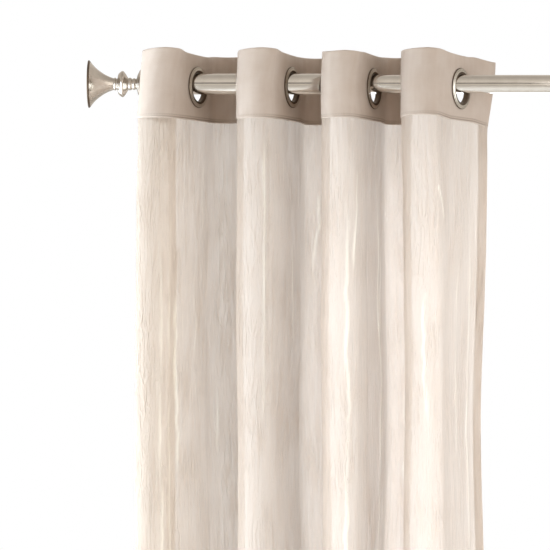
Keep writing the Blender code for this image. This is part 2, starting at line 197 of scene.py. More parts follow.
# Reach of the seam's calm and of its gathers, its stitched groove, and one upright crease in the
# band's first front fold, from the seam up, all in mm
CALM_BELOW_SEAM = 60.0
CALM_ABOVE_SEAM = 18.0
PUCKER_REACH = 13.0
GROOVE_DEPTH = 0.14
GROOVE_WIDTH = 1.3
BAND_CREASE_PLACE = 176.0
BAND_CREASE_HEIGHT = 0.8
BAND_CREASE_WIDTH = 2.6
BAND_CREASE_TOP = 32.0
BAND_CREASE_FADE = 14.0

# Stitches: place along a stitch and thickness, as shares of its length and its radius
STITCH_PITCH = 3.2 * MM
STITCH_LENGTH = 2.3 * MM
STITCH_RADIUS = 0.26 * MM
STITCH_RISE = 3.8 * MM
STITCH_OUT = 0.08 * MM
STITCH_MARGIN = 4.0 * MM
STITCH_SHAPE = np.array(((-0.5, 0.15), (-0.32, 1.0), (0.32, 1.0), (0.5, 0.15)))
STITCH_SIDES = 6

# Eyelets: half of the ring's outline from its rim to the middle of its bore, as radius and
# distance from the middle in mm. Its colour is painted dark as shade inside the one radius and outside the
# other
HOLE_RADIUS = 21.2 * MM
EYELET_STEPS = 72
EYELET_CURVE_STEPS = 4
EYELET_OUTLINE = (
    (24.3, 1.30), (25.0, 1.55), (25.0, 2.2), (24.4, 2.75), (23.2, 3.05), (22.2, 3.1), (21.4, 3.45),
    (20.4, 3.65), (19.3, 3.6), (18.3, 3.4), (17.65, 2.9), (17.4, 2.2), (17.35, 1.2), (17.35, 0.0),
)
BORE_SHADE_RADIUS = 20.3 * MM
RIM_SHADE_RADIUS = 24.45 * MM

# Ends of the rod's tubes in mm: radius less the tube's own, and distance from that end
ROUND_STEPS = 96
THICK_START = ((-1.1, 0.0), (-0.25, 0.05), (0.0, 0.4))
THICK_ROLLED_END = ((0.0, 1.0), (-0.3, 0.3), (-0.8, 0.0), (-1.35, 0.2), (-1.35, 3.0))
THIN_START = ((-1.0, 0.0), (0.0, 0.2))
THIN_END = ((0.0, 0.4), (-0.25, 0.05), (-1.0, 0.0))

# Finials: outline from inside the mouth to the tube, as radius and distance from the tube in mm
FINIAL_GAP = 0.15 * MM
FINIAL_CURVE_STEPS = 3
# Past this distance the finial's rim is painted dark, a painted reflection
FINIAL_PAINTED_RIM_START = 62.9 * MM
FINIAL_OUTLINE = (
    (0.0, 61.6), (8.0, 61.5), (14.0, 61.9), (21.0, 62.9), (25.6, 63.7), (27.6, 64.9), (28.5, 65.5),
    (29.0, 65.1), (28.7, 64.2), (27.2, 62.9), (25.0, 61.3), (21.4, 58.2), (18.4, 55.0), (15.6, 51.4),
    (13.2, 48.0), (11.2, 44.6), (9.6, 41.4), (8.3, 38.2), (7.4, 35.6), (7.1, 34.2), (7.9, 33.4),
    (7.7, 32.4), (6.9, 31.8), (6.8, 30.4), (8.2, 29.7), (11.8, 29.0), (13.8, 27.4), (15.2, 25.6),
    (16.0, 24.0), (15.3, 22.4), (13.4, 20.8), (11.0, 19.2), (8.4, 17.6), (7.2, 17.0), (7.6, 15.6),
    (7.7, 14.4), (7.0, 12.9), (6.2, 12.1), (6.8, 11.0), (7.1, 9.8), (6.8, 8.4), (6.2, 7.3),
    (7.4, 6.4), (10.4, 5.6), (12.9, 4.7), (13.4, 4.1), (15.6, 3.2), (17.3, 2.1), (17.8, 1.2),
    (17.6, 0.4), (16.4, 0.05), (12.0, 0.0),
)

# Colours of the cloth, and how much of it covers and lets light scatter through
VOILE_LIGHT = (0.655, 0.575, 0.505)
VOILE_DEEP = (0.635, 0.55, 0.475)
# Painted shade for the voile's crease lines, ripples and crease troughs, and a painted highlight for its
# crease ridges
VOILE_PAINTED_SHADE = (0.53, 0.44, 0.37)
VOILE_PAINTED_HIGHLIGHT = (0.84, 0.79, 0.69)
GAP_TINT = (1.0, 0.99, 0.98)
VOILE_COVER = 0.785
VOILE_THROUGH = 0.50
BAND_LIGHT = (0.68, 0.59, 0.52)
BAND_DEEP = (0.63, 0.53, 0.455)
# Painted shadow line and painted highlight for the band's seam
BAND_PAINTED_SHADE = (0.36, 0.28, 0.23)
BAND_PAINTED_HIGHLIGHT = (0.84, 0.77, 0.70)
BAND_THROUGH = 0.32
THREAD_LIGHT = (0.55, 0.46, 0.38)
THREAD_DEEP = (0.44, 0.36, 0.29)
FLOOR_LIGHT = (0.86, 0.86, 0.85)
FLOOR_DEEP = (0.83, 0.83, 0.82)

# Pitch of the threads of each weave
VOILE_THREADS = 0.9 * MM
BAND_THREADS = 1.1 * MM

# Metals: two tones, the range of their roughness, and the grain's size along and round the axis
METAL_COLUMNS = ("name", "light", "deep", "roughness", "grain_along", "grain_around")
METAL_ROWS = (
    ("eyelet_nickel", (0.66, 0.61, 0.54), (0.58, 0.53, 0.46), (0.24, 0.34), 2.0 * MM, 0.6 * MM),
    # The dark metal is painted shade: in the eyelets' bores, under their rims and on the finials' rims
    ("eyelet_bore", (0.16, 0.12, 0.09), (0.12, 0.09, 0.065), (0.35, 0.5), 2.0 * MM, 0.6 * MM),
    ("rod_nickel", (0.76, 0.72, 0.67), (0.71, 0.67, 0.62), (0.13, 0.20), 20.0 * MM, 0.4 * MM),
    ("finial_nickel", (0.60, 0.555, 0.50), (0.54, 0.49, 0.44), (0.18, 0.23), 0.6 * MM, 20.0 * MM),
)

# Camera: level, at the height and distance that put the folds' top edges where the photo has them
VIEW_CENTRE = (0.1305, -0.233)
CAMERA_DISTANCE = 2.7
FOCAL_PIXELS = 2212.6
IMAGE_PIXELS = 550.0
SENSOR_WIDTH = 36.0
CLIP_START = 0.05
CLIP_END = 60.0

# World light by height, from straight down to straight up. The dark stripe just above the
# horizon is what a polished rod shows as its thin dark line
ROOM_STOPS = (
    (0.0, 0.34), (0.10, 0.40), (0.20, 0.66), (0.47, 0.80), (0.51, 0.22), (0.59, 0.22),
    (0.63, 0.86), (0.80, 0.80), (0.92, 0.66), (1.0, 0.54),
)
ROOM_TINT = (1.0, 0.92, 0.82)
ROOM_STRENGTH = 0.93

# Soft lights in metres, watts and degrees. The left ones light each fold's leading side and shine
# through the free edge, the window stands behind the right-hand folds
LIGHT_COLUMNS = ("name", "place", "target", "size", "power", "colour", "spread")
LIGHT_ROWS = (
    ("left", (-0.70, -0.30, -0.84), (0.12, 0.0, -0.80), (0.7, 1.9), 25.5, (0.88, 1.0, 1.10), 180.0),
    ("front_left", (-1.10, -1.30, -0.60), (0.12, 0.0, -0.50), (1.0, 1.8), 9.0, (0.90, 1.0, 1.10), 180.0),
    ("behind_left", (-1.10, 0.34, -0.62), (-0.03, 0.0, -0.60), (0.9, 1.8), 20.0, (0.90, 1.0, 1.08), 180.0),
    ("right", (3.10, -0.90, -0.35), (0.12, 0.0, -0.40), (1.8, 2.2), 40.0, (0.93, 1.0, 1.06), 180.0),
    ("front_right", (2.10, -2.20, 0.0), (0.12, 0.0, -0.40), (1.8, 2.2), 18.0, (1.0, 0.96, 0.9), 180.0),
    ("window", (0.62, 0.55, -0.84), (0.60, 0.0, -0.84), (0.85, 1.55), 8.5, (0.95, 1.0, 1.08), 50.0),
)

FLOOR_DROP = 14.0 * MM
FLOOR_HALF = 6.0


def smooth(value):
    """A step from 0 to 1 with level ends."""
    value = np.clip(value, 0.0, 1.0)
    return value * value * (3.0 - 2.0 * value)


def lattice_noise(across, along, seed):
    """Smooth noise from -1 to 1 over two arrays, the same on each run."""
    table = np.random.default_rng(seed).uniform(-1.0, 1.0, (NOISE_TABLE, NOISE_TABLE))
    column = np.floor(across).astype(int)
    row = np.floor(along).astype(int)
    part_across = smooth(across - column)
    part_along = smooth(along - row)
    near = table[column % NOISE_TABLE, row % NOISE_TABLE] * (1 - part_across)
    near += table[(column + 1) % NOISE_TABLE, row % NOISE_TABLE] * part_across
    far = table[column % NOISE_TABLE, (row + 1) % NOISE_TABLE] * (1 - part_across)
    far += table[(column + 1) % NOISE_TABLE, (row + 1) % NOISE_TABLE] * part_across
    return near * (1 - part_along) + far * part_along


# Plan of the folds

def eyelet_position(index):
    """Distance of an eyelet's centre from the left edge, along the flat cloth."""
    return SIDE_MARGIN + index * EYELET_PITCH


def legs_at(height):
    """Crossing point in metres and lean in radians of every stretch at a height."""
    upper = float(smooth((SEAM_HEIGHT - height) / (SEAM_HEIGHT - UPPER_HEIGHT)))
    lower = float(smooth((UPPER_HEIGHT - height) / (UPPER_HEIGHT - HEM_HEIGHT)))
    below = max(SEAM_HEIGHT - height, 0.0)
    crossings = []
    leans = []
    for leg in LEGS:
        wander = upper * leg["sway"] * math.sin(2 * math.pi * below / SWAY_LENGTH + leg["phase"])
        x = leg["x_top"] + upper * (leg["x_upper"] - leg["x_top"]) + wander
        x += lower * (leg["x_hem"] - leg["x_upper"])
        lean = leg["lean_top"] + upper * (leg["lean_upper"] - leg["lean_top"])
        lean += lower * (leg["lean_hem"] - leg["lean_upper"]) + SWAY_LEAN * wander
        crossings.append(x * MM)
        leans.append(math.radians(lean))
    return crossings, leans


def after_bend(lean, bend):
    """Where a stretch stands, from its eyelet, once it is past its flat part and its bend."""
    along = FLAT_HALF + BEND_RADIUS * math.sin(bend)
    aside = BEND_RADIUS * (1 - math.cos(bend))
    return np.array((
        along * math.sin(lean) - aside * math.cos(lean),
        along * math.cos(lean) + aside * math.sin(lean),
    ))


def loop_pieces(width, leans, bends, turn_sign):
    """Lengths and curvatures of the cloth's line between two neighbouring eyelets.

    Past its eyelet each stretch turns by its bend. Both then draw together towards the fold,
    so one arc touches them both, and its radius is the one that uses up exactly the cloth
    between the two eyelets.
    """
    starts = [after_bend(lean, bend) for lean, bend in zip(leans, bends)]
    gap = starts[1] - starts[0] + np.array((-turn_sign * width, 0.0))
    after = [lean - bend for lean, bend in zip(leans, bends)]
    ahead = [(math.sin(lean), math.cos(lean)) for lean in after]
    closing = -turn_sign * math.sin(after[0] - after[1])
    reach_from = -turn_sign * (gap[0] * ahead[1][1] - gap[1] * ahead[1][0]) / closing
    reach_to = -turn_sign * (gap[0] * ahead[0][1] - gap[1] * ahead[0][0]) / closing
    turn = math.pi + turn_sign * (after[0] - after[1])
    tangent = math.tan(turn / 2)
    cloth = EYELET_PITCH - 2 * FLAT_HALF - BEND_RADIUS * (bends[0] + bends[1])
    radius = (reach_from + reach_to - cloth) / (2 * tangent - turn)
    return [
        (FLAT_HALF, 0.0),
        (BEND_RADIUS * bends[0], 1 / BEND_RADIUS),
        (reach_from - radius * tangent, 0.0),
        (radius * turn, turn_sign / radius),
        (reach_to - radius * tangent, 0.0),
        (BEND_RADIUS * bends[1], -1 / BEND_RADIUS),
        (FLAT_HALF, 0.0),
    ]


def plan_pieces(height):
    """Start point, start heading and the pieces of the cloth's line in plan at a height."""
    crossings, leans = legs_at(height)
    direction = np.array((-math.sin(leans[0]), -math.cos(leans[0])))
    start = np.array((crossings[0], 0.0)) - SIDE_MARGIN * direction
    heading = math.atan2(direction[1], direction[0])
    pieces = [(SIDE_MARGIN, 0.0)]
    for index in range(EYELET_COUNT - 1):
        front = index % 2 == 0
        width = crossings[index + 1] - crossings[index]
        bends = [0.0 if front else math.radians(leg["bend"]) for leg in LEGS[index:index + 2]]
        pieces += loop_pieces(width, leans[index:index + 2], bends, 1 if front else -1)
    fade = float(smooth((BAND_TOP - height) / CURL_FADE))
    curl = math.radians(EDGE_CURL_TOP + fade * (EDGE_CURL_BELOW - EDGE_CURL_TOP))
    free_length = SIDE_MARGIN - FLAT_HALF
    pieces += [(FLAT_HALF, 0.0), (free_length, -curl / free_length)]
    return start, heading, pieces


def fold_shares(distances):
    """For each fold its row and how far it counts at the given distances along the cloth."""
    for row in FOLDS:
        middle = eyelet_position(row["between"]) + EYELET_PITCH / 2
        yield row, smooth((FOLD_HALF_WIDTH - np.abs(distances - middle)) / FOLD_EASE)


def fold_shift(height, distances):
    """How far each fold leans over to the right at a height."""
    above = max(height / BAND_TOP, 0.0)
    below = min(max(height / SEAM_HEIGHT, 0.0), 1.0)
    low = float(smooth((SEAM_HEIGHT - height) / (SEAM_HEIGHT - LOW_SHIFT_HEIGHT)))
    shift = np.zeros(len(distances))
    for row, share in fold_shares(distances):
        reach = above * row["top_shift"] + below * row["seam_shift"]
        reach += low * (row["low_shift"] - row["seam_shift"])
        shift += reach * MM * share
    return shift


def along_piece(start, heading, curvature, along):
    """X, Y and heading at distances along one straight or curved piece of the cloth's line."""
    if curvature == 0.0:
        return (start[0] + along * math.cos(heading), start[1] + along * math.sin(heading), heading)
    turned = heading + curvature * along
    x = start[0] + (np.sin(turned) - math.sin(heading)) / curvature
    y = start[1] - (np.cos(turned) - math.cos(heading)) / curvature
    return x, y, turned


def plan_points(height, distances):
    """Points in plan, and the heading there, at the given distances along the cloth."""
    start, heading, pieces = plan_pieces(height)
    points = np.zeros((len(distances), 2))
    headings = np.zeros(len(distances))
    passed = 0.0
    for length, curvature in pieces:
        inside = distances >= passed - ROUNDING
        x, y, turned = along_piece(start, heading, curvature, distances[inside] - passed)
        points[inside, 0] = x
        points[inside, 1] = y
        headings[inside] = turned
        *start, heading = along_piece(start, heading, curvature, length)
        passed += length
    points[:, 0] += fold_shift(height, distances)
    return points, headings


def eyelet_sag(distances):
    """Sag of the band's top edge at the eyelets."""
    shares = np.zeros(len(distances))
    for index in range(EYELET_COUNT):
        to_back = 1 if index % 2 else -1
        behind = to_back * (distances - eyelet_position(index))
        before = smooth((behind + SAG_BEFORE) / (SAG_BEFORE + SAG_PEAK))
        after = smooth((SAG_BEHIND - behind) / (SAG_BEHIND - SAG_PEAK))
        shares = np.maximum(shares, before * after)
    return EYELET_SAG * shares


def edge_offsets(distances):
    """Drop of the band's top edge and rise of its seam at distances along the cloth."""
    drop = eyelet_sag(distances)
    lift = np.zeros(len(distances))
    for row, share in fold_shares(distances):
        drop += row["top_drop"] * MM * share
        lift += row["seam_lift"] * MM * share
    corner = smooth((distances - PANEL_WIDTH + CORNER_REACH) / CORNER_REACH)
    drop += CORNER_DROP_TOP * corner
    lift -= CORNER_DROP_SEAM * corner
    return drop, lift


# Relief of the cloth

def line_noise(level, row, pattern):
    """Noise down one crease, in a row of its own."""
    length, seed = pattern
    return lattice_noise(level / length, row, seed)


def sized_noise(across, down, pattern):
    """Noise over the flat cloth, at a pattern's two sizes and its strength."""
    size_across, size_down, seed, strength = pattern
    return strength * lattice_noise(across / size_across, down / size_down, seed)


def main_creases(across, heights):
    """Relief of the listed creases over the cloth, in mm."""
    relief = np.zeros_like(across)
    level = heights / MM
    for number, crease in enumerate(CREASES):
        share = (crease["top"] - level) / (crease["top"] - crease["bottom"])
        row = np.full_like(level, CREASE_ROW_STEP * number)
        wander = line_noise(level, row, WANDER_LONG) + 0.5 * line_noise(level, row, WANDER_SHORT)
        middle = crease["across"] + crease["drift"] * np.clip(share, 0, 1) + crease["wander"] * wander
        inside = smooth(share * CREASE_END_STEEPNESS) * smooth((1 - share) * CREASE_END_STEEPNESS)
        strength = inside * (0.75 + 0.5 * line_noise(level, row, CREASE_STRENGTH))
        bell = np.exp(-((across - middle[:, None]) / (CREASE_SPREAD * crease["width"])) ** 2)
        relief += CREASE_HEIGHT * crease["rise"] * strength[:, None] * bell
    return relief


def crinkle(distances, heights):
    """How far the crushed cloth stands off its smooth folds, towards the room."""
    across, down = np.meshgrid(distances / MM, -heights / MM)
    patches = smooth(0.5 + sized_noise(across, down, CRINKLE_PATCHES))
    warped = across + sized_noise(across, down, WARP_WIDE) + sized_noise(across, down, WARP_FINE)
    ridges = CRINKLE_RIDGES[3] / 2 - np.abs(sized_noise(warped, down, CRINKLE_RIDGES))
    height = ridges * (0.3 + 0.9 * patches) + sized_noise(warped, down, CRINKLE_SOFT)
    height += sized_noise(warped, down, CRINKLE_FINE) * (0.3 + 0.7 * patches)
    height += main_creases(across, heights)
    settled = smooth(((SEAM_HEIGHT - heights) / MM - 1.0) / CALM_BELOW_SEAM)[:, None]
    return height * (0.15 + 0.85 * settled) * MM


def seam_pucker(distances, heights):
    """Small gathers along the stitched seam, fading away from it."""
    across, down = np.meshgrid(distances / MM, (heights - SEAM_HEIGHT) / MM)
    level = np.zeros_like(across)
    ripple = sized_noise(across, level, PUCKER_FINE) + sized_noise(across, level, PUCKER_WIDE)
    return ripple * np.exp(-np.abs(down) / PUCKER_REACH) * MM


def band_relief(distances, heights):
    """Soft waves of the heading band, the groove that its stitching pulls in, and one crease."""
    across, up = np.meshgrid(distances / MM, (heights - SEAM_HEIGHT) / MM)
    waves = sized_noise(across, up, BAND_WAVES) + sized_noise(across, up, BAND_RIPPLES)
    groove = GROOVE_DEPTH * np.exp(-((up - STITCH_RISE / MM) / GROOVE_WIDTH) ** 2)
    crease = BAND_CREASE_HEIGHT * np.exp(-((across - BAND_CREASE_PLACE) / BAND_CREASE_WIDTH) ** 2)
    crease *= smooth((BAND_CREASE_TOP - up) / BAND_CREASE_FADE)
    return (waves * smooth(up / CALM_ABOVE_SEAM) - groove + crease) * MM


def cloth_points(distances, heights, lift, offset, relief_of):
    """Points of a sheet on the folds.

    lift and offset are arrays of rows by columns or numbers, relief_of is crinkle or band_relief.
    """
    relief = seam_pucker(distances, heights) + relief_of(distances, heights) + offset
    points = np.zeros((len(heights), len(distances), 3))
    for row, height in enumerate(heights):
        plan, heading = plan_points(min(height, BAND_TOP), distances)
        points[row, :, 0] = plan[:, 0] + relief[row] * np.sin(heading)
        points[row, :, 1] = plan[:, 1] - relief[row] * np.cos(heading)
    points[:, :, 2] = heights[:, None] + lift
    return points


# Meshes

def new_object(name, points, faces, material, layout=None):
    """A smooth mesh object, with a UV map from its layout, corner by corner, where one is given."""
    mesh = bpy.data.meshes.new(name)
    mesh.from_pydata(points, [], faces)
    if layout is not None:
        layer = mesh.uv_layers.new(name="cloth")
        layer.data.foreach_set("uv", layout.reshape(-1))
    mesh.shade_smooth()
    mesh.materials.append(material)
    item = bpy.data.objects.new(name, mesh)
    bpy.context.scene.collection.objects.link(item)
    return item


def grid_quads(index):
    """The faces of a grid of point numbers, by row and column."""
    return np.stack((index[:-1, :-1], index[:-1, 1:], index[1:, 1:], index[1:, :-1]), axis=-1)


def surface_object(name, points, flat, material):
    """A quad surface from rows of points, with the flat cloth's metres as its UV map."""
    rows, columns = points.shape[:2]
    faces = grid_quads(np.arange(rows * columns).reshape(rows, columns)).reshape(-1, 4)
    layout = flat.reshape(-1, 2)[faces]
    return new_object(name, points.reshape(-1, 3).tolist(), faces.tolist(), material, layout)


def doubled_object(name, front, back, flat, kept, material):
    """Two like grids closed with walls along their edges and round their holes.

    kept is a mask of the faces that stay.
    """
    rows, columns = front.shape[:2]
    offset = rows * columns
    index = np.arange(offset).reshape(rows, columns)
    square = grid_quads(index)[kept]
    faces = [square, square[:, ::-1] + offset]
    padded = np.pad(kept, 1)
    for step, first, second in (
        (padded[1:, 1:-1].astype(int) - padded[:-1, 1:-1], index[:, :-1], index[:, 1:]),
        (padded[1:-1, :-1].astype(int) - padded[1:-1, 1:], index[:-1, :], index[1:, :]),
    ):
        for sign, starts, ends in ((1, first, second), (-1, second, first)):
            start = starts[step == sign]
            end = ends[step == sign]
            faces.append(np.stack((end, start, start + offset, end + offset), axis=-1))
    faces = np.concatenate(faces)
    used = np.unique(faces)
    renumber = np.zeros(2 * offset, dtype=int)
    renumber[used] = np.arange(len(used))
    points = np.concatenate((front.reshape(-1, 3), back.reshape(-1, 3)))
    layout = np.concatenate((flat.reshape(-1, 2), flat.reshape(-1, 2)))[faces]
    return new_object(name, points[used].tolist(), renumber[faces].tolist(), material, layout)


def flat_map(distances, heights):
    """The flat cloth's own coordinates, in metres, for every point of a sheet."""
    across, down = np.meshgrid(distances, heights)
    return np.stack((across, down - HEM_HEIGHT), axis=-1)


# Crushed voile and its hems

def voile_rows():
    """Heights of the voile's rows: close together where the camera looks, wider below."""
    top = SEAM_HEIGHT + SEAM_TUCK
    fine = np.arange(0.0, FINE_DEPTH, FINE_ROW)
    count = math.ceil((top - HEM_HEIGHT - FINE_DEPTH) / COARSE_ROW)
    coarse = np.linspace(FINE_DEPTH, top - HEM_HEIGHT, count + 1)
    return (top - np.concatenate((fine, coarse)))[::-1]


def voile_columns():
    """Distances of the voile's columns along the flat cloth."""
    return np.linspace(0.0, PANEL_WIDTH, round(PANEL_WIDTH / COLUMN_STEP) + 1)


def seam_lift_field(distances, heights):
    """Rise of the rows under the seam, which fades down the cloth."""
    _, lift = edge_offsets(distances)
    fade = smooth(1.0 - (SEAM_HEIGHT - heights) / LIFT_FADE)
    return fade[:, None] * lift[None, :]


def mark_creases(item, flat):
    """A second UV map whose first value is the relief of the listed creases, in mm."""
    across = np.tile(flat[0, :, 0] / MM, (len(flat), 1))
    relief = main_creases(across, flat[:, 0, 1] + HEM_HEIGHT)
    values = np.stack((relief.reshape(-1), np.zeros(relief.size)), axis=-1)
    corners = np.zeros(len(item.data.loops), dtype=np.int32)
    item.data.loops.foreach_get("vertex_index", corners)
    # The voile's material reads this relief to paint highlight on ridges and shade in troughs
    layer = item.data.uv_layers.new(name="creases")
    layer.data.foreach_set("uv", values[corners].reshape(-1))


def crushed_object(name, distances, heights, offset, material):
    """A sheet of crushed voile on the folds, standing off them by its offset."""
    lift = seam_lift_field(distances, heights)
    points = cloth_points(distances, heights, lift, offset, crinkle)
    flat = flat_map(distances, heights)
    item = surface_object(name, points, flat, material)
    mark_creases(item, flat)
    return item


def hem_rise(steps, offset):
    """How far a hem stands behind the cloth: out from its fold, and in again where it is sewn."""
    out = smooth(steps / steps[2])
    sewn = smooth((steps - steps[-2]) / (steps[-1] - steps[-2]))
    return offset * out * (1.0 - HEM_PRESSED * sewn)


def make_hems(material):
    """The two side hems and the bottom hem, turned to the back and creased like the voile."""
    heights = voile_rows()
    turned = np.array(SIDE_HEM_STEPS) * MM
    behind = -np.tile(hem_rise(turned, HEM_OFFSET), (len(heights), 1))
    left = crushed_object("side_hem_left", turned, heights, behind, material)
    right = crushed_object("side_hem_right", PANEL_WIDTH - turned[::-1], heights, behind[:, ::-1], material)
    distances = voile_columns()
    up = np.array(BOTTOM_HEM_STEPS) * MM
    behind = -np.tile(hem_rise(up, 2 * HEM_OFFSET)[:, None], (1, len(distances)))
    bottom = crushed_object("bottom_hem", distances, HEM_HEIGHT + up, behind, material)
    return [left, right, bottom]


# Heading band

def edge_swell(reach):
    """Share of the full thickness at a distance from a rounded edge."""
    share = np.clip(reach / EDGE_ROUNDING, 0.0, 1.0)
    return np.clip(np.sqrt(1.0 - (1.0 - share) ** 2), EDGE_THINNEST, 1.0)


def eyelet_height(index):
    """Height of an eyelet's centre: the middle of its CAD node."""
    low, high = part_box(f"grommet_{index + 1}")
    return (low[2] + high[2]) / 2


def hole_mask(flat):
    """Faces of the band inside the eyelets' holes."""
    centre = (flat[:-1, :-1] + flat[1:, 1:]) / 2
    mask = np.zeros(centre.shape[:2], dtype=bool)
    for index in range(EYELET_COUNT):
        along = centre[:, :, 0] - eyelet_position(index)
        up = centre[:, :, 1] + HEM_HEIGHT - eyelet_height(index)
        mask |= along ** 2 + up ** 2 < HOLE_RADIUS ** 2
    return mask


def band_columns():
    """Columns of the band: close together at its two ends, even between them."""
    ends = np.array(BAND_END_STEPS) * MM
    middle = np.linspace(BAND_INNER_START, PANEL_WIDTH - BAND_INNER_START, BAND_INNER_COLUMNS)
    return np.concatenate((ends, middle, PANEL_WIDTH - ends[::-1]))


def band_shares():
    """Rows of the band as shares of its height, close together at its seam and its top edge."""
    seam = np.array(BAND_SEAM_STEPS) * MM / BAND_HEIGHT
    return np.concatenate((seam, np.linspace(*BAND_MIDDLE_SHARES), BAND_TOP_SHARES))


def make_band(material):
    """The heading band: a soft folded strip with rounded edges, open at the eyelets."""
    distances = band_columns()
    drop, lift = edge_offsets(distances)
    shares = band_shares()
    edge = np.minimum(shares, 1.0 - shares) * BAND_HEIGHT
    ends = np.minimum(distances, PANEL_WIDTH - distances)
    half = BAND_HALF_THICKNESS * edge_swell(edge)[:, None] * edge_swell(ends)[None, :]
    heights = SEAM_HEIGHT + shares * BAND_HEIGHT
    vertical = (1 - shares)[:, None] * lift[None, :] - shares[:, None] * drop[None, :]
    front = cloth_points(distances, heights, vertical, half, band_relief)
    back = cloth_points(distances, heights, vertical, -half, band_relief)
    flat = flat_map(distances, heights)
    return doubled_object("heading_cloth", front, back, flat, ~hole_mask(flat), material)


def stitch_faces(base):
    """Faces of one stitch whose points start at a number: its sides and its two ends."""
    faces = []
    for station in range(len(STITCH_SHAPE) - 1):
        for corner in range(STITCH_SIDES):
            first = base + station * STITCH_SIDES + corner
            second = base + station * STITCH_SIDES + (corner + 1) % STITCH_SIDES
            faces.append((first, second, second + STITCH_SIDES, first + STITCH_SIDES))
    last = base + (len(STITCH_SHAPE) - 1) * STITCH_SIDES
    faces.append(tuple(base + corner for corner in reversed(range(STITCH_SIDES))))
    faces.append(tuple(last + corner for corner in range(STITCH_SIDES)))
    return faces


def make_stitches(material):
    """A row of stitches along the band's lower edge, on its front and on its back."""
    angles = np.linspace(0, 2 * math.pi, STITCH_SIDES + 1)[:-1]
    height = SEAM_HEIGHT + STITCH_RISE
    points = []
    faces = []
    for side in (1.0, -1.0):
        offset = side * (BAND_HALF_THICKNESS + STITCH_OUT)
        for centre in np.arange(STITCH_MARGIN, PANEL_WIDTH - STITCH_MARGIN, STITCH_PITCH):
            stations = np.clip(centre + STITCH_SHAPE[:, 0] * STITCH_LENGTH, 0.0, PANEL_WIDTH)
            _, lift = edge_offsets(stations)
            spine = cloth_points(stations, np.array((height,)), lift[None, :], offset, band_relief)[0]
            _, headings = plan_points(height, stations)
            faces += stitch_faces(len(points))
            for place, heading, thickness in zip(spine, headings, STITCH_SHAPE[:, 1]):
                outward = np.array((math.sin(heading), -math.cos(heading), 0.0))
                for angle in angles:
                    around = math.cos(angle) * outward + math.sin(angle) * np.array((0, 0, 1.0))
                    points.append(place + STITCH_RADIUS * thickness * around)
    return new_object("seam_stitches", [tuple(point) for point in points], faces, material)


# Eyelets, tubes and finials

def turned_object(name, profile, origin, axis, steps, material):
    """Turn a profile of radius and distance along the axis round it. The profile may be closed."""
    profile = np.array(profile)
    axis = np.array(axis, dtype=float)
    upward = np.array((0.0, 0.0, 1.0))
    side = np.cross(upward, axis)
    angles = np.linspace(0.0, 2 * math.pi, steps + 1)
    ring = np.cos(angles)[:, None] * upward + np.sin(angles)[:, None] * side
    points = np.array(origin) + profile[None, :, 1, None] * axis
    points = points + profile[None, :, 0, None] * ring[:, None, :]
    lengths = np.concatenate(((0.0,), np.cumsum(np.hypot(*np.diff(profile, axis=0).T))))
    widest = profile[:, 0].max()
    flat = np.stack(np.meshgrid(lengths, angles * widest), axis=-1)
    return surface_object(name, points, flat, material)


def rounded(points, count):
    """A smooth curve through the given points, for a turned outline."""
    points = np.array(points, dtype=float)
    padded = np.concatenate(([2 * points[0] - points[1]], points, [2 * points[-1] - points[-2]]))
    curve = []
    for index in range(len(points) - 1):
        before, first, second, after = padded[index:index + 4]
        for step in range(count):
            share = step / count
            curve.append(0.5 * ((2 * first) + (second - before) * share
                         + (2 * before - 5 * first + 4 * second - after) * share ** 2
                         + (3 * first - before - 3 * second + after) * share ** 3))
    curve.append(points[-1])
    return np.array(curve)


def shade_rings(item, shaded, steps, material):
    """Give a second material to some of a turned object's rings, marked along its profile."""
    item.data.materials.append(material)
    item.data.polygons.foreach_set("material_index", np.tile(shaded, steps).astype(int))


def make_eyelets(material, painted_shade_material):
    """Eight rings, each with two rounded flanges, with painted shade in the bore and under the rim."""
    outer = rounded(EYELET_OUTLINE, EYELET_CURVE_STEPS) * MM
    profile = np.concatenate((outer, outer[-2::-1] * (1, -1)))
    middle = (profile[1:, 0] + profile[:-1, 0]) / 2
    # Faces painted dark as shade: in the bore and under the rim
    shaded = (middle < BORE_SHADE_RADIUS) | (middle > RIM_SHADE_RADIUS)
    items = []
    for index, leg in enumerate(LEGS):
        lean = math.radians(leg["lean_top"])
        origin = (leg["x_top"] * MM, 0.0, eyelet_height(index))
        axis = (math.cos(lean), -math.sin(lean), 0.0)
        item = turned_object(f"eyelet_ring_{index + 1}", profile, origin, axis, EYELET_STEPS, material)
        shade_rings(item, shaded, EYELET_STEPS, painted_shade_material)
        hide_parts(f"grommet_{index + 1}")
        items.append(item)
    return items


def make_tube(name, node, start, end, material):
    """A tube of the rod in its CAD node's place, from the outlines of its two ends."""
    low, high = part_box(node)
    radius = (high[2] - low[2]) / 2
    length = high[0] - low[0]
    profile = [(radius + wider * MM, along * MM) for wider, along in start]
    profile.append((radius, length / 2))
    profile += [(radius + wider * MM, length - along * MM) for wider, along in end]
    item = turned_object(name, profile, (low[0], 0, 0), (1, 0, 0), ROUND_STEPS, material)
    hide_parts(node)
    return item


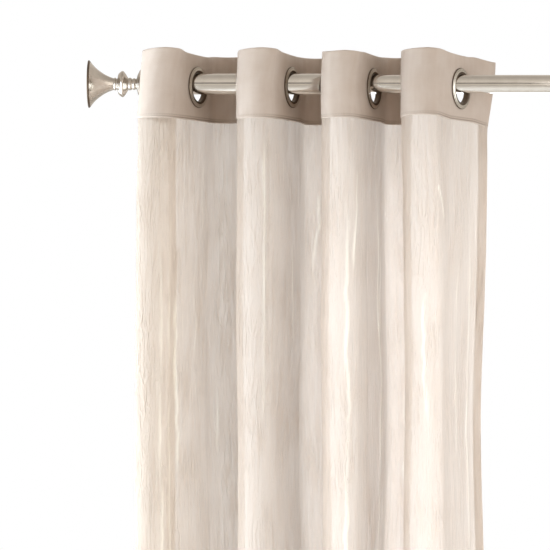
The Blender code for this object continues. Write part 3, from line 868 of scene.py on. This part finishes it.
def make_finials(material, rim_painted_shade_material):
    """The two trumpet finials, with a painted dark reflection on the rim, a beaded neck and a cup against
    the tube.
    """
    profile = rounded(FINIAL_OUTLINE, FINIAL_CURVE_STEPS) * MM
    # Faces of the rim painted dark, a painted reflection
    rim = (profile[1:, 1] + profile[:-1, 1]) / 2 > FINIAL_PAINTED_RIM_START
    outer_low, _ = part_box("rod_outer_tube")
    _, inner_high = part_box("rod_inner_tube")
    items = []
    for side, face, direction in (("left", outer_low[0], -1.0), ("right", inner_high[0], 1.0)):
        origin = (face + direction * FINIAL_GAP, 0.0, 0.0)
        item = turned_object(f"trumpet_{side}", profile, origin, (direction, 0, 0), ROUND_STEPS, material)
        shade_rings(item, rim, ROUND_STEPS, rim_painted_shade_material)
        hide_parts(f"finial_{side}")
        items.append(item)
    return items


# Nodes

def start_material(name):
    """An empty node material and its tree."""
    material = bpy.data.materials.new(name)
    material.use_nodes = True
    material.node_tree.nodes.clear()
    return material, material.node_tree


def add_node(tree, kind, values=(), **settings):
    """A node with its settings and the given input values."""
    item = tree.nodes.new(kind)
    for key, value in settings.items():
        setattr(item, key, value)
    for socket, value in dict(values).items():
        item.inputs[socket].default_value = value
    return item


def show_surface(tree, shader):
    """Make a shader the material's surface."""
    output = add_node(tree, "ShaderNodeOutputMaterial")
    tree.links.new(shader.outputs[0], output.inputs["Surface"])


def plain_shader(tree, colour, values):
    """A principled shader with its colour, shown as the material's surface."""
    shader = add_node(tree, "ShaderNodeBsdfPrincipled", values)
    tree.links.new(colour, shader.inputs["Base Color"])
    show_surface(tree, shader)
    return shader


def split_map(tree, name, across=1.0, along=1.0):
    """The two values of a UV map, divided by a size across and a size along."""
    parts = add_node(tree, "ShaderNodeSeparateXYZ")
    tree.links.new(scaled_map(tree, across, along, name), parts.inputs["Vector"])
    return parts.outputs["X"], parts.outputs["Y"]


def scaled_map(tree, across, along, name="cloth"):
    """A UV map, as a rule the flat cloth's metres, divided by a size across and a size along."""
    source = add_node(tree, "ShaderNodeUVMap", uv_map=name)
    mapping = add_node(tree, "ShaderNodeMapping", {"Scale": (1 / across, 1 / along, 1.0)})
    tree.links.new(source.outputs["UV"], mapping.inputs["Vector"])
    return mapping.outputs["Vector"]


def noise_node(tree, across, along, detail=2.0, roughness=0.5, distortion=0.0):
    """Noise over the cloth at a size across and a size along."""
    values = {"Scale": 1.0, "Detail": detail, "Roughness": roughness, "Distortion": distortion}
    item = add_node(tree, "ShaderNodeTexNoise", values)
    tree.links.new(scaled_map(tree, across, along), item.inputs["Vector"])
    return item.outputs["Fac"]


def math_node(tree, operation, first, second=0.5, third=None):
    """A maths node on sockets or numbers."""
    item = tree.nodes.new("ShaderNodeMath")
    item.operation = operation
    for slot, value in enumerate((first, second, third)):
        if value is None:
            continue
        if isinstance(value, (int, float)):
            item.inputs[slot].default_value = value
        else:
            tree.links.new(value, item.inputs[slot])
    return item.outputs[0]


def add_up(tree, *terms):
    """The sum of sockets, each with its weight."""
    total = None
    for value, weight in terms:
        part = value if weight == 1.0 else math_node(tree, "MULTIPLY", value, weight)
        total = part if total is None else math_node(tree, "ADD", total, part)
    return total


def range_node(tree, value, source, target):
    """Map a value from one range to another, held at the ends."""
    values = {"From Min": source[0], "From Max": source[1], "To Min": target[0], "To Max": target[1]}
    item = add_node(tree, "ShaderNodeMapRange", values)
    tree.links.new(value, item.inputs["Value"])
    return item.outputs["Result"]


def colour_mix(tree, factor, first, second):
    """Mix two colours by a factor socket."""
    item = add_node(tree, "ShaderNodeMix", data_type="RGBA")
    tree.links.new(factor, item.inputs["Factor"])
    for slot, colour in (("A", first), ("B", second)):
        socket = [x for x in item.inputs if x.name == slot and x.type == "RGBA"][0]
        if isinstance(colour, tuple):
            socket.default_value = (*colour, 1.0)
        else:
            tree.links.new(colour, socket)
    return [x for x in item.outputs if x.type == "RGBA"][0]


def weave_height(tree, pitch):
    """Height of a plain weave: threads of two directions, over and under."""
    across, along = split_map(tree, "cloth", pitch, pitch)
    waves = [math_node(tree, "SINE", math_node(tree, "MULTIPLY", turns, 2 * math.pi))
             for turns in (across, along)]
    return math_node(tree, "MULTIPLY", *waves)


def bump_node(tree, height, distance, under=None):
    """A bump of a height socket, over another normal where one is given."""
    item = add_node(tree, "ShaderNodeBump", {"Distance": distance, "Strength": 1.0})
    tree.links.new(height, item.inputs["Height"])
    if under is not None:
        tree.links.new(under, item.inputs["Normal"])
    return item.outputs["Normal"]


def crease_lines(tree, across, along, half_width):
    """Thin wandering lines: 1 on each line, 0 away from it."""
    field = noise_node(tree, across, along, roughness=0.45, distortion=0.35)
    away = math_node(tree, "ABSOLUTE", math_node(tree, "SUBTRACT", field, 0.5))
    return range_node(tree, away, (0.0, half_width), (1.0, 0.0))


def cloth_shader(tree, colour, normal, through_share, values):
    """Threads that send light back, and a share of them that scatters it through."""
    threads = add_node(tree, "ShaderNodeBsdfPrincipled", values)
    through = add_node(tree, "ShaderNodeBsdfTranslucent")
    for shader, socket in ((threads, "Base Color"), (through, "Color")):
        tree.links.new(colour, shader.inputs[socket])
        tree.links.new(normal, shader.inputs["Normal"])
    mixed = add_node(tree, "ShaderNodeMixShader", {"Fac": through_share})
    tree.links.new(threads.outputs[0], mixed.inputs[1])
    tree.links.new(through.outputs[0], mixed.inputs[2])
    return mixed


# Materials

def voile_material():
    """Crushed sheer voile: threads that scatter and pass light, with gaps between them."""
    material, tree = start_material("crushed_voile")
    patches = noise_node(tree, across=34 * MM, along=110 * MM)
    slub = noise_node(tree, across=1.2 * MM, along=16 * MM)
    ripples = noise_node(tree, across=4.2 * MM, along=50 * MM, distortion=0.2)
    weave = weave_height(tree, VOILE_THREADS)
    long_lines = crease_lines(tree, across=10 * MM, along=75 * MM, half_width=0.06)
    short_lines = crease_lines(tree, across=5.5 * MM, along=30 * MM, half_width=0.08)
    lines = math_node(tree, "MAXIMUM", long_lines, math_node(tree, "MULTIPLY", short_lines, 0.7))
    crushed = range_node(tree, patches, (0.40, 0.62), (0.35, 1.0))
    lines = math_node(tree, "MULTIPLY", lines, crushed)

    tint = range_node(tree, add_up(tree, (patches, 0.8), (slub, 0.2)), (0.35, 0.65), (0.0, 1.0))
    colour = colour_mix(tree, tint, VOILE_LIGHT, VOILE_DEEP)
    # Painted shade along the crease lines and the ripples
    painted_ripple_shade = range_node(tree, ripples, (0.42, 0.68), (0.0, 0.22))
    colour = colour_mix(tree, add_up(tree, (lines, 0.22), (painted_ripple_shade, 1.0)), colour, VOILE_PAINTED_SHADE)
    # Painted highlight on the creases' ridges and painted shade in their troughs, from their relief
    relief, _ = split_map(tree, "creases")
    colour = colour_mix(tree, range_node(tree, relief, (0.15, 0.9), (0.0, 0.9)), colour, VOILE_PAINTED_HIGHLIGHT)
    colour = colour_mix(tree, range_node(tree, relief, (-0.9, -0.15), (0.6, 0.0)), colour, VOILE_PAINTED_SHADE)

    normal = bump_node(tree, add_up(tree, (slub, 1.0), (weave, 0.35)), 0.12 * MM)
    normal = bump_node(tree, lines, 1.0 * MM, normal)
    normal = bump_node(tree, ripples, 1.6 * MM, normal)
    cloth = cloth_shader(tree, colour, normal, VOILE_THROUGH, {
        "Roughness": 0.75, "Specular IOR Level": 0.2, "Sheen Weight": 0.1, "Sheen Roughness": 0.4})

    patchy = range_node(tree, patches, (0.3, 0.7), (-0.015, 0.015))
    gathered = range_node(tree, ripples, (0.35, 0.65), (-0.04, 0.04))
    cover = add_up(tree, (weave, 0.08), (lines, 0.09), (patchy, 1.0), (gathered, 1.0))
    cover = math_node(tree, "ADD", cover, VOILE_COVER)
    gaps = add_node(tree, "ShaderNodeBsdfTransparent", {"Color": (*GAP_TINT, 1.0)})
    surface = add_node(tree, "ShaderNodeMixShader")
    tree.links.new(cover, surface.inputs["Fac"])
    tree.links.new(gaps.outputs[0], surface.inputs[1])
    tree.links.new(cloth.outputs[0], surface.inputs[2])
    show_surface(tree, surface)
    return material


def paint_seam_light_and_shade(tree, colour):
    """The band's colour with painted light at its seam: a painted highlight on its edge, a painted shadow
    line over it and painted shade at the stitches.

    The painting shows where the front folds turn back, at every second eyelet, and hardly elsewhere.
    """
    across, up = split_map(tree, "cloth")
    above = math_node(tree, "SUBTRACT", up, SEAM_HEIGHT - HEM_HEIGHT)
    turn = math_node(tree, "MULTIPLY_ADD", across, math.pi / EYELET_PITCH,
                     -math.pi * eyelet_position(1) / EYELET_PITCH)
    shown = range_node(tree, math_node(tree, "COSINE", turn), (-0.25, 0.75), (0.06, 1.0))
    pale = range_node(tree, above, (0.7 * MM, 1.1 * MM), (0.7, 0.0))
    dark = math_node(tree, "MULTIPLY", range_node(tree, above, (0.9 * MM, 1.4 * MM), (0.0, 1.0)),
                     range_node(tree, above, (2.4 * MM, 3.0 * MM), (0.8, 0.0)))
    away = math_node(tree, "ABSOLUTE", math_node(tree, "SUBTRACT", above, STITCH_RISE + 0.9 * MM))
    stitched = range_node(tree, away, (0.3 * MM, 1.0 * MM), (0.45, 0.0))
    dark = math_node(tree, "MAXIMUM", dark, stitched)
    colour = colour_mix(tree, math_node(tree, "MULTIPLY", pale, shown), colour, BAND_PAINTED_HIGHLIGHT)
    return colour_mix(tree, math_node(tree, "MULTIPLY", dark, shown), colour, BAND_PAINTED_SHADE)


def band_material():
    """Heading cloth: a plain weave with faint slubs, denser than the voile."""
    material, tree = start_material("heading_weave")
    slub = noise_node(tree, across=22 * MM, along=1.6 * MM, detail=3.0, roughness=0.6)
    upright = noise_node(tree, across=6 * MM, along=50 * MM)
    cloudy = noise_node(tree, across=30 * MM, along=26 * MM, detail=3.0)
    tint = add_up(tree, (slub, 0.12), (cloudy, 0.58), (upright, 0.30))
    colour = colour_mix(tree, range_node(tree, tint, (0.38, 0.62), (0.0, 1.0)), BAND_LIGHT, BAND_DEEP)
    # Painted highlight and painted shade along the seam
    colour = paint_seam_light_and_shade(tree, colour)
    height = add_up(tree, (slub, 0.35), (weave_height(tree, BAND_THREADS), 0.35))
    show_surface(tree, cloth_shader(tree, colour, bump_node(tree, height, 0.25 * MM), BAND_THROUGH, {
        "Roughness": 0.78, "Specular IOR Level": 0.2, "Sheen Weight": 0.15, "Sheen Roughness": 0.45}))
    return material


def metal_material(name, light, deep, roughness, grain_along, grain_around):
    """Nickel: fine grain in its roughness and relief, with a faint cloudy tone."""
    material, tree = start_material(name)
    grain = noise_node(tree, grain_along, grain_around, detail=4.0, roughness=0.65)
    cloud = noise_node(tree, across=16 * MM, along=16 * MM)
    colour = colour_mix(tree, range_node(tree, cloud, (0.35, 0.65), (0.0, 1.0)), light, deep)
    shader = plain_shader(tree, colour, {"Metallic": 1.0})
    tree.links.new(range_node(tree, grain, (0.3, 0.7), roughness), shader.inputs["Roughness"])
    tree.links.new(bump_node(tree, grain, 0.02 * MM), shader.inputs["Normal"])
    return material


def thread_material():
    """Sewing thread, twisted, a little darker than the band."""
    material, tree = start_material("seam_thread")
    place = add_node(tree, "ShaderNodeTexCoord")
    twist = {"Scale": 900.0, "Distortion": 1.5}
    wave = add_node(tree, "ShaderNodeTexWave", twist, bands_direction="DIAGONAL")
    tree.links.new(place.outputs["Object"], wave.inputs["Vector"])
    colour = colour_mix(tree, wave.outputs["Fac"], THREAD_LIGHT, THREAD_DEEP)
    shader = plain_shader(tree, colour, {"Roughness": 0.6})
    tree.links.new(bump_node(tree, wave.outputs["Fac"], 0.1 * MM), shader.inputs["Normal"])
    return material


def floor_material():
    """A plain pale floor."""
    material, tree = start_material("pale_floor")
    colour = colour_mix(tree, noise_node(tree, across=0.5, along=0.5), FLOOR_LIGHT, FLOOR_DEEP)
    plain_shader(tree, colour, {"Roughness": 0.9, "Specular IOR Level": 0.1})
    return material


# Studio

def make_camera():
    """The photo's viewing angle: level, square to the rod, below it."""
    data = bpy.data.cameras.new("camera")
    data.sensor_width = SENSOR_WIDTH
    data.lens = FOCAL_PIXELS * SENSOR_WIDTH / IMAGE_PIXELS
    data.clip_start = CLIP_START
    data.clip_end = CLIP_END
    camera = bpy.data.objects.new("camera", data)
    camera.location = (VIEW_CENTRE[0], -CAMERA_DISTANCE, VIEW_CENTRE[1])
    camera.rotation_euler = (math.radians(90.0), 0.0, 0.0)
    bpy.context.scene.collection.objects.link(camera)
    bpy.context.scene.camera = camera


def area_light(name, place, target, size, power, colour, spread):
    """A soft light, its size across and up, at a place and pointed at a target."""
    data = bpy.data.lights.new(name, "AREA")
    data.shape = "RECTANGLE"
    data.size, data.size_y = size
    data.energy = power
    data.color = colour
    data.spread = math.radians(spread)
    item = bpy.data.objects.new(name, data)
    item.location = place
    aim = Vector(target) - Vector(place)
    item.rotation_euler = aim.to_track_quat("-Z", "Y").to_euler()
    item.visible_camera = False
    bpy.context.scene.collection.objects.link(item)


def studio_world():
    """White seen directly, and a softer, warmer room for the light and the reflections."""
    world = bpy.data.worlds.new("studio")
    world.use_nodes = True
    bpy.context.scene.world = world
    tree = world.node_tree
    tree.nodes.clear()
    place = add_node(tree, "ShaderNodeTexCoord")
    parts = add_node(tree, "ShaderNodeSeparateXYZ")
    tree.links.new(place.outputs["Generated"], parts.inputs["Vector"])
    ramp = add_node(tree, "ShaderNodeValToRGB")
    while len(ramp.color_ramp.elements) < len(ROOM_STOPS):
        ramp.color_ramp.elements.new(0.5)
    for element, (position, level) in zip(ramp.color_ramp.elements, ROOM_STOPS):
        element.position = position
        element.color = (*(level * share for share in ROOM_TINT), 1.0)
    height = range_node(tree, parts.outputs["Z"], (-1.0, 1.0), (0.0, 1.0))
    tree.links.new(height, ramp.inputs["Fac"])
    room = add_node(tree, "ShaderNodeBackground", {"Strength": ROOM_STRENGTH})
    tree.links.new(ramp.outputs["Color"], room.inputs["Color"])
    seen = add_node(tree, "ShaderNodeBackground", {"Color": (1.0, 1.0, 1.0, 1.0), "Strength": 1.0})
    path = add_node(tree, "ShaderNodeLightPath")
    mix = add_node(tree, "ShaderNodeMixShader")
    tree.links.new(path.outputs["Is Camera Ray"], mix.inputs["Fac"])
    tree.links.new(room.outputs[0], mix.inputs[1])
    tree.links.new(seen.outputs[0], mix.inputs[2])
    output = add_node(tree, "ShaderNodeOutputWorld")
    tree.links.new(mix.outputs[0], output.inputs["Surface"])


def make_floor():
    """A pale floor just under the hem."""
    level = HEM_HEIGHT - FLOOR_DROP
    corners = np.array((((-1, -1), (1, -1)), ((-1, 1), (1, 1))), dtype=float) * FLOOR_HALF
    points = np.concatenate((corners, np.full((2, 2, 1), level)), axis=-1)
    item = surface_object("floor", points, corners, floor_material())


def main():
    bpy.context.scene.view_settings.view_transform = "Standard"
    make_camera()
    studio_world()
    for row in LIGHT_ROWS:
        area_light(**dict(zip(LIGHT_COLUMNS, row)))
    make_floor()

    voile = voile_material()
    metals = {row[0]: metal_material(**dict(zip(METAL_COLUMNS, row))) for row in METAL_ROWS}
    sheet = crushed_object("voile_cloth", voile_columns(), voile_rows(), 0.0, voile)
    hems = make_hems(voile)
    heading = make_band(band_material())
    stitches = make_stitches(thread_material())
    rings = make_eyelets(metals["eyelet_nickel"], metals["eyelet_bore"])
    tubes = [
        make_tube("rod_thick_tube", "rod_outer_tube", THICK_START, THICK_ROLLED_END, metals["rod_nickel"]),
        make_tube("rod_thin_tube", "rod_inner_tube", THIN_START, THIN_END, metals["rod_nickel"]),
    ]
    finials = make_finials(metals["finial_nickel"], metals["eyelet_bore"])

    for slot, items in (("voile", [sheet, *hems]), ("heading", [heading, stitches]),
                        ("eyelet_metal", rings), ("rod_metal", [*tubes, *finials])):
        for item in items:
            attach(item, "root")
    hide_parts("voile_panel")
    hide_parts("heading_band")


main()
